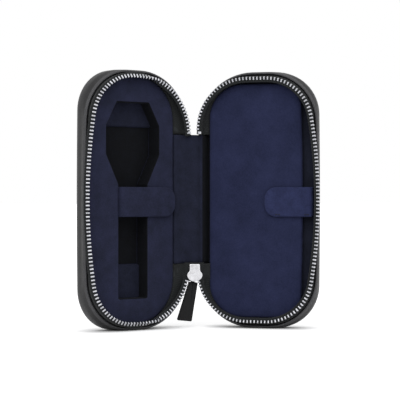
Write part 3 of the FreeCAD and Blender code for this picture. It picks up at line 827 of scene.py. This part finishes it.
for name, look in (("spineLining", lining), ("spineLeather", leatherSpine), ("sliderTape", tapeEnd)):
    run = smoothRun([spinePoint(*p) if len(p) == 3 else Vector(p) for p in look["run"]], look["steps"])
    piece = makeStrip(name, run, look)
    # past the groove's line the lining takes the near-black suede: painted shade in the gap beside the panel
    if "groove" in look:
        piece.data.materials.append(shadeSuede)
        for face in piece.data.polygons:
            if (face.center - fold).dot(across) > look["groove"] * mm:
                face.material_index = 1
    x, y = look["bend"]
    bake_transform(piece)
    if "node" in look:
        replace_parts(piece, look["node"])

# slider: two domed bell-shaped plates, joined by a post, with side flanges at the neck; bell is (half width, height
# from its low end), plate is (share of the bell, distance from the middle)
slider = dict(low=36.0, half=2.4, gap=1.5, overlap=0.1, bellSteps=3, domeMiddle=6.0,
    bell=[(0.0, 0.0), (2.2, 0.35), (4.2, 1.45), (5.6, 3.0), (6.15, 4.6), (6.1, 6.0), (5.3, 7.2), (4.5, 8.3),
    (4.2, 9.6), (4.15, 12.6), (3.75, 13.55), (3.0, 13.8)],
    plate=[(0.90, 1.5), (0.985, 1.55), (1.0, 1.75), (1.0, 2.05), (0.97, 2.28), (0.92, 2.38), (0.8, 2.46),
    (0.5, 2.56), (0.2, 2.6)],
    post=[(0.0, -2.5), (1.2, -1.1), (1.5, 0.0), (1.0, 1.4), (0.0, 2.5), (-1.0, 1.4), (-1.5, 0.0),
    (-1.2, -1.1)], postMiddle=3.9, postFoot=1.1, postTaper=0.4,
    flange=(3.35, 4.2), flangeLow=44.2, flangeHigh=49.6, soft=0.2, slot=0.55)


def plateRows(side):
    run = smoothRun([Vector((x, slider["low"] + z)) for x, z in slider["bell"]], slider["bellSteps"])
    ring = [(p.x, p.y) for p in run] + [(-p.x, p.y) for p in reversed(run[1:])]
    centre = (0.0, slider["low"] + slider["domeMiddle"])
    return placeRows(spineAt, [(shrunk(ring, centre, share), side * y) for share, y in slider["plate"]])


def boxRows(x0, x1, y0, y1, z0, z1, soft):
    rows = []
    for z, s in ((z0, soft), (z0 + soft, 0.0), (z1 - soft, 0.0), (z1, soft)):
        ring = roundPolygon([(x0 + s, y0 + s), (x1 - s, y0 + s), (x1 - s, y1 - s), (x0 + s, y1 - s)], soft, 2)
        rows.append([spineAt(p[0], p[1], z) for p in ring])
    return rows


def makeSlider():
    reach, waist, foot = slider["gap"] + slider["overlap"], slider["gap"] - slider["postTaper"], slider["postFoot"]
    parts = [skinMesh("plate", plateRows(side)) for side in (-1, 1)]
    parts.append(skinMesh("post", [[spineAt(x * s, y, slider["low"] + slider["postMiddle"] + z * s)
        for x, z in slider["post"]]
        for y, s in ((-reach, foot), (-waist, 1.0), (waist, 1.0), (reach, foot))]))
    for side in (-1, 1):
        x0, x1 = sorted(side * x for x in slider["flange"])
        for y0, y1 in ((-reach, -slider["slot"]), (slider["slot"], reach)):
            rows = boxRows(x0, x1, y0, y1, slider["flangeLow"], slider["flangeHigh"], slider["soft"])
            parts.append(skinMesh("flange", rows))
    bm = bmesh.new()
    for part in parts:
        bm.from_mesh(part)
    whole = bpy.data.meshes.new("sliderBody")
    bm.to_mesh(whole)
    bm.free()
    return linkPiece("sliderBody", whole, sliderNickel, 40.0)


# section swept along a path, its first direction held to one side
def sweep(at, path, side, section, closed=False):
    rows, count = [], len(path)
    for i, p in enumerate(path):
        a, b = path[i - 1 if closed else max(0, i - 1)], path[(i + 1) % count if closed else min(count - 1, i + 1)]
        up = (b - a).normalized().cross(side).normalized()
        rows.append([at(*(p + side * x + up * y)) for x, y in section])
    return rows


# bail on the slider's back plate; its bends are (distance below its top, height from either end)
bail = dict(width=1.5, wire=1.0, soft=0.35, low=40.5, high=49.5, end=0.6, sunk=0.2, rise=3.8, leg=1.6,
    bends=[(0.9, 0.35), (0.15, 1.6)])


def makeBail():
    y0, y1 = slider["half"] - bail["sunk"], slider["half"] + bail["rise"] - bail["wire"] / 2.0
    z0, z1 = bail["low"] + bail["end"], bail["high"] - bail["end"]
    leg = [(y0, 0.0), (y0 + bail["leg"], 0.0)] + [(y1 - below, up) for below, up in bail["bends"]]
    points = [Vector((y, z0 + up)) for y, up in leg] + [Vector((y1, (z0 + z1) / 2.0))]
    points += [Vector((y, z1 - up)) for y, up in reversed(leg)]
    path = [Vector((0.0, p.x, p.y)) for p in smoothRun(points, 4)]
    w, t = bail["width"] / 2.0, bail["wire"] / 2.0
    section = roundPolygon([(-w, -t), (w, -t), (w, t), (-w, t)], bail["soft"], 3)
    rows = sweep(spineAt, path, Vector((1.0, 0.0, 0.0)), section)
    return skinPiece("sliderBail", rows, sliderNickel, 50.0)


# pull: a leather tab that hangs from a wire link, drawn from its pivot; tabEdge is (inset, height from the face)
pull = dict(pivot=(0.3, 3.75, 46.0), lean=6.0, linkWire=0.8, linkWidth=4.2, linkLength=10.3, linkCorner=1.3,
    linkSides=10, thickness=2.0, tabCorner=1.2, tabEdge=[(1.2, 0.12), (0.5, 0.0), (0.15, -0.15), (0.0, -0.45)],
    corners=[(-3.2, -10.7), (-9.5, -41.6), (2.5, -41.6), (4.2, -10.7), (1.0, -10.4), (1.0, -7.5), (-1.0, -7.5),
    (-1.0, -10.4)])


def pullAt(x, y, z):
    c, s = cos(radians(pull["lean"])), sin(radians(pull["lean"]))
    px, py, pz = pull["pivot"]
    return spineAt(px + x * c + z * s, py + y, pz - x * s + z * c)


def makeLink():
    r, sides = pull["linkWire"] / 2.0, pull["linkSides"]
    half, low = pull["linkWidth"] / 2.0 - r, 2.0 * r - pull["linkLength"]
    ring = roundPolygon([(-half, low), (half, low), (half, 0.0), (-half, 0.0)], pull["linkCorner"])
    path = [Vector((x, 0.0, z)) for x, z in ring]
    section = arc(0.0, 0.0, r, 0.0, 2.0 * pi, sides)
    rows = sweep(pullAt, path, Vector((0.0, 1.0, 0.0)), section, closed=True)
    return skinPiece("pullLink", rows, sliderNickel, 60.0, ring=True, capped=False)


def tabOutline(inset):
    return roundPolygon(offsetPolygon(pull["corners"], -inset), pull["tabCorner"], 5)


def makeTab():
    front = rolled(tabOutline, pull["thickness"] / 2.0, pull["tabEdge"])
    rows = [(ring, -y) for ring, y in front] + front[::-1]
    return skinPiece("pullTab", placeRows(pullAt, rows), pullLeather)


# short thread stitch laid along a row, as (along, radius, lift) stations, and where the pull's stitches run
stitch = dict(stations=[(-0.95, 0.10, 0.0), (-0.7, 0.24, 0.12), (0.0, 0.27, 0.2), (0.7, 0.24, 0.12), (0.95, 0.10, 0.0)],
    sides=6, pitch=2.6, inset=1.3, proud=0.06)
rows = [[Vector((x * mm, y * mm, z * mm)) for x, y in arc(0.0, lift, r, 0.0, 2.0 * pi, stitch["sides"])]
    for z, r, lift in stitch["stations"]]
stitchShape = skinPiece("stitchShape", rows, blackThread, 60.0)
for piece, body, node, slot in ((makeSlider(), "zip_slider", "slider_body", "zip_metal"),
        (makeBail(), "zip_slider", "slider_bail", "zip_metal"), (makeLink(), "zip_pull", "pull_link", "zip_metal"),
        (makeTab(), "zip_pull", "pull_tab", "black_leather")):
    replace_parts(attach(piece, body), node)
for name, y in (("pullStitchFront", -1.0), ("pullStitchBack", 1.0)):
    ring = tabOutline(stitch["inset"])
    row = [pullAt(x, y * (pull["thickness"] / 2.0 + stitch["proud"]), z) for x, z in ring + ring[:1]]
    facing = (pullAt(0, y, 0) - pullAt(0, 0, 0)).normalized()
    stitches = repeatAlong(name, row, [facing] * len(row), stitchShape, stitch["pitch"], blackThread)
    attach(stitches, "zip_pull")

# two tacks on the lid's strap
tack = dict(places=(65.7, 88.6), height=88.6, depth=6.1, length=2.2)
for number, u in enumerate(tack["places"]):
    row = [lidAt(u + side * tack["length"] / 2.0, tack["depth"], tack["height"]) for side in (-1, 1)]
    facing = (lidAt(0.0, -1.0, 0.0) - lidAt(0.0, 0.0, 0.0)).normalized()
    stitches = repeatAlong("strapTack%d" % (number + 1), row, [facing] * 2, stitchShape, tack["length"], blackThread)
    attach(stitches, "lid_strap_arm")
bpy.data.objects.remove(stitchShape)
print("slider and pull ready")

# nodes that keep their CAD shape
kept = {"_zip_stop": toothNickel, "_back_board": greyBoard, "_hook_patch": hookLoop, "_loop_patch": hookLoop}
keptNodes = {half + tail: material for half in halfAt for tail, material in kept.items()}
keptNodes["lid_panel_board"] = greyBoard
for name, material in keptNodes.items():
    nodes[name].data.materials.clear()
    nodes[name].data.materials.append(material)

# studio: pale floor that keeps the shadow at the case's foot, its glow dimmed near the case by ambient occlusion as
# painted contact shade, white all round, soft lamps; each lamp has where it stands from the case, how wide it looks
# in degrees and how strong it is
studio = dict(floor="#ededee", size=30.0, lift=0.6, contact=18.0, contactPower=1.5, worldLight=0.55,
    keyLamp=((-1.3, -1.0, 1.4), 50.0, 0.9), fillLamp=((0.5, -1.4, 0.9), 60.0, 0.5))


# 1 for rays that show the studio itself, 0 for those that light the case
def shownRays(tree):
    rays = addNode(tree, "LightPath")
    seen = addNode(tree, "Math", {0: (rays, "Is Camera Ray"), 1: (rays, "Is Glossy Ray")}, operation="MAXIMUM")
    return addNode(tree, "Math", {0: (seen, "Value"), 1: (rays, "Is Transmission Ray")}, operation="MAXIMUM")


def makeStudio():
    mesh = bpy.data.meshes.new("floor")
    size = studio["size"]
    corners = [(-size, -size, 0.0), (size, -size, 0.0), (size, size, 0.0), (-size, size, 0.0)]
    mesh.from_pydata(corners, [], [(0, 1, 2, 3)])
    floor = addObject("studioFloor", mesh)
    material, tree, shader = newMaterial("paintedStudioFloor")
    # ambient occlusion takes the floor's glow away near the case: painted contact shade on top of the real shadow
    near = addNode(tree, "AmbientOcclusion", {"Distance": studio["contact"] * mm}, samples=16)
    near = addNode(tree, "Math", {0: (near, "AO"), 1: studio["contactPower"]}, operation="POWER")
    lift = addNode(tree, "Math", {0: (near, "Value"), 1: studio["lift"]}, operation="MULTIPLY")
    lift = addNode(tree, "Math", {0: (shownRays(tree), "Value"), 1: (lift, "Value")}, operation="MULTIPLY")
    setInputs(tree, shader, {"Base Color": fromHex(studio["floor"]), "Roughness": 1.0, "Specular IOR Level": 0.0,
        "Emission Color": white, "Emission Strength": (lift, "Value")})
    mesh.materials.append(material)
    world = bpy.data.worlds.new("studioWhite")
    scene.world = world
    world.use_nodes = True
    tree = world.node_tree
    level = addNode(tree, "MapRange", {"Value": (shownRays(tree), "Value"), "To Min": studio["worldLight"],
        "To Max": 1.0})
    setInputs(tree, tree.nodes["Background"], {"Color": white, "Strength": (level, "Result")})


# far soft lamp, so that the floor is lit evenly
def makeLamp(name):
    place, spread, strength = studio[name]
    lamp = bpy.data.lights.new(name, "SUN")
    lamp.angle, lamp.energy = radians(spread), strength
    obj = addObject(name, lamp)
    obj.location = place
    obj.rotation_euler = (-Vector(place)).to_track_quat("-Z", "Y").to_euler()


# the photograph's view, level, in metres from the hinge's line; lens and sensor in mm
view = dict(toward=Vector((-0.6074, -0.7944, 0.0)), distance=1.2, height=0.1, aimSide=0.0044,
    lens=137.6, sensor=36.0, clip=(0.05, 100.0))


def makeCamera():
    data = bpy.data.cameras.new("photoView")
    data.sensor_width, data.lens = view["sensor"], view["lens"]
    data.clip_start, data.clip_end = view["clip"]
    camera = addObject("photoView", data)
    level = Vector((hinge.x, hinge.y, view["height"]))
    toward = view["toward"].normalized()
    right = Vector((-toward.y, toward.x, 0.0))
    camera.location = level + toward * view["distance"]
    aim = level + right * view["aimSide"]
    camera.rotation_euler = (aim - camera.location).to_track_quat("-Z", "Y").to_euler()
    scene.camera = camera


makeStudio()
makeCamera()
makeLamp("keyLamp")
makeLamp("fillLamp")
print("studio ready")
